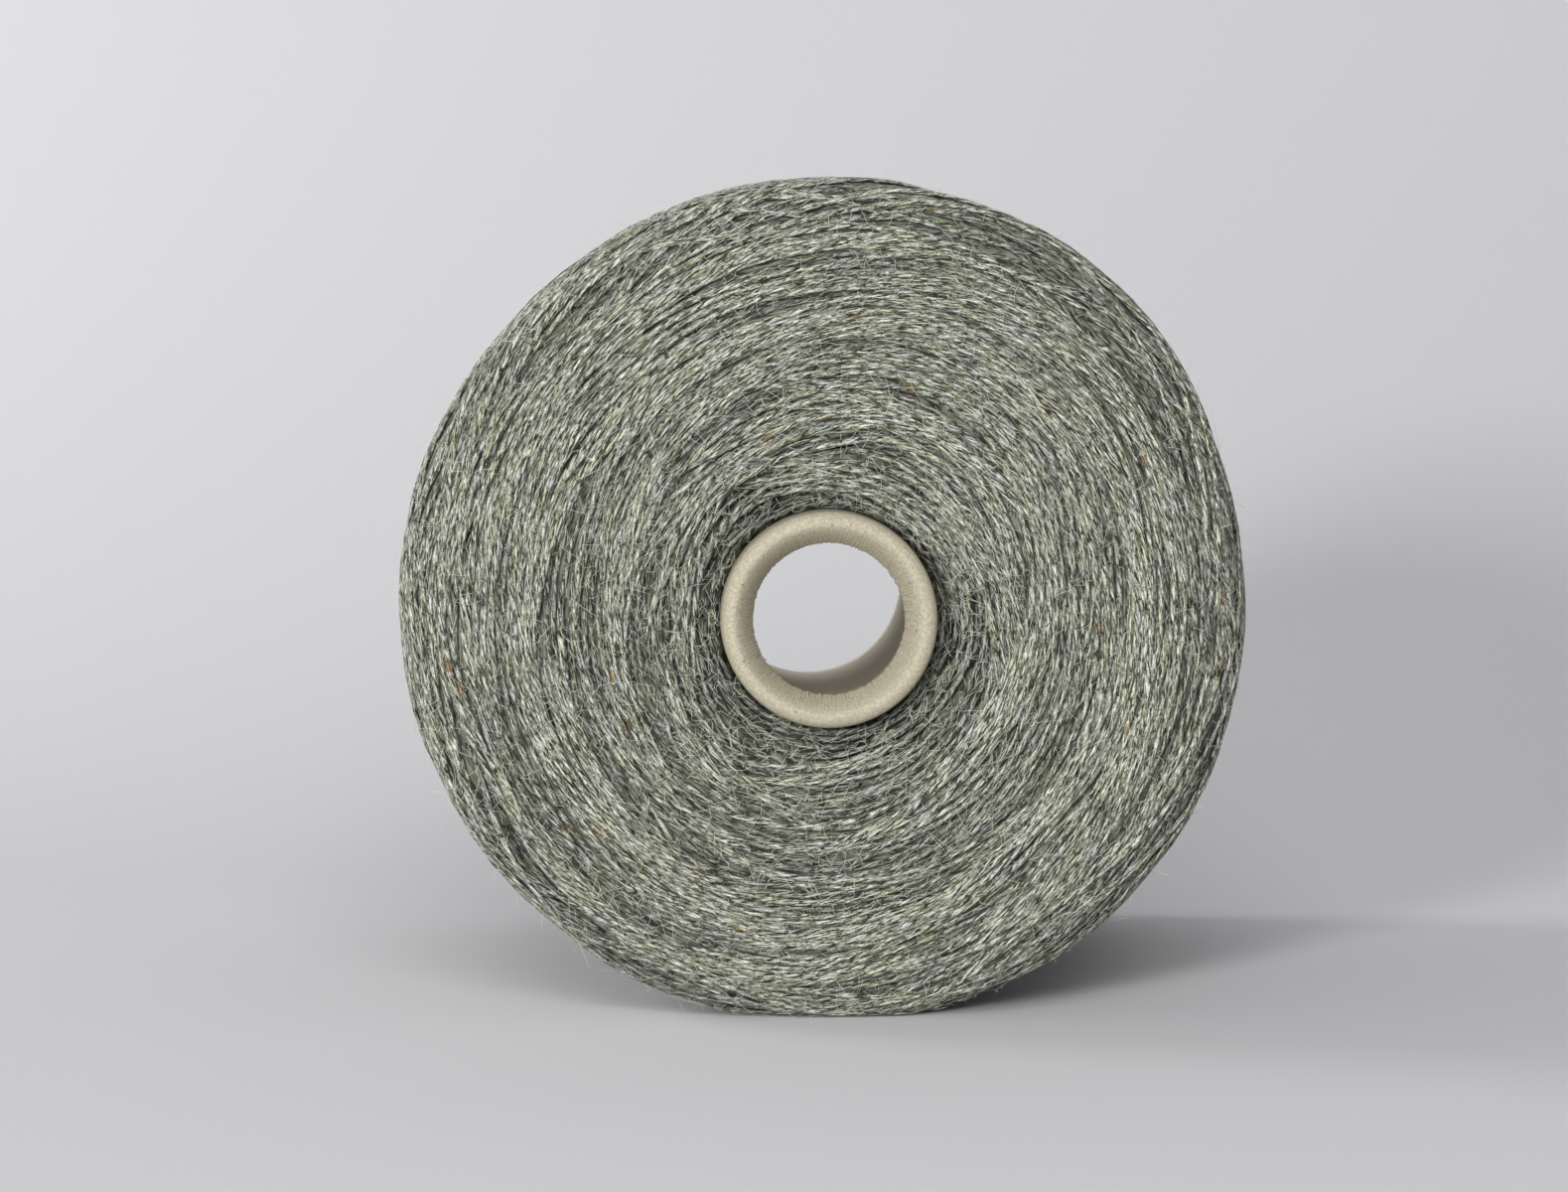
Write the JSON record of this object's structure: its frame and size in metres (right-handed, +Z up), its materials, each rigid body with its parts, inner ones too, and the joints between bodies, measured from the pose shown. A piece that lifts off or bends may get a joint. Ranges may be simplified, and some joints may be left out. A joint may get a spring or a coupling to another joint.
{
  "type": "yarn cake wound on a card tube",
  "caption": "Wool yarn wound crosswise on a slightly tapered card tube with a curled-in nose, lying on its side.",
  "frame": {"origin": "on the floor, below the middle of the whole package", "axes": "+Y along the tube from its curled nose to its cut base, +Z up, +X to the right seen from the nose"},
  "size_m": [0.1428, 0.17, 0.1391],
  "materials": {
    "wool": "fuzzy heather woollen yarn, grey green",
    "card": "smooth pressed grey-beige card"
  },
  "bodies": {
    "root": {"wound_yarn": "wool", "card_tube": "card"}
  },
  "joints": []
}
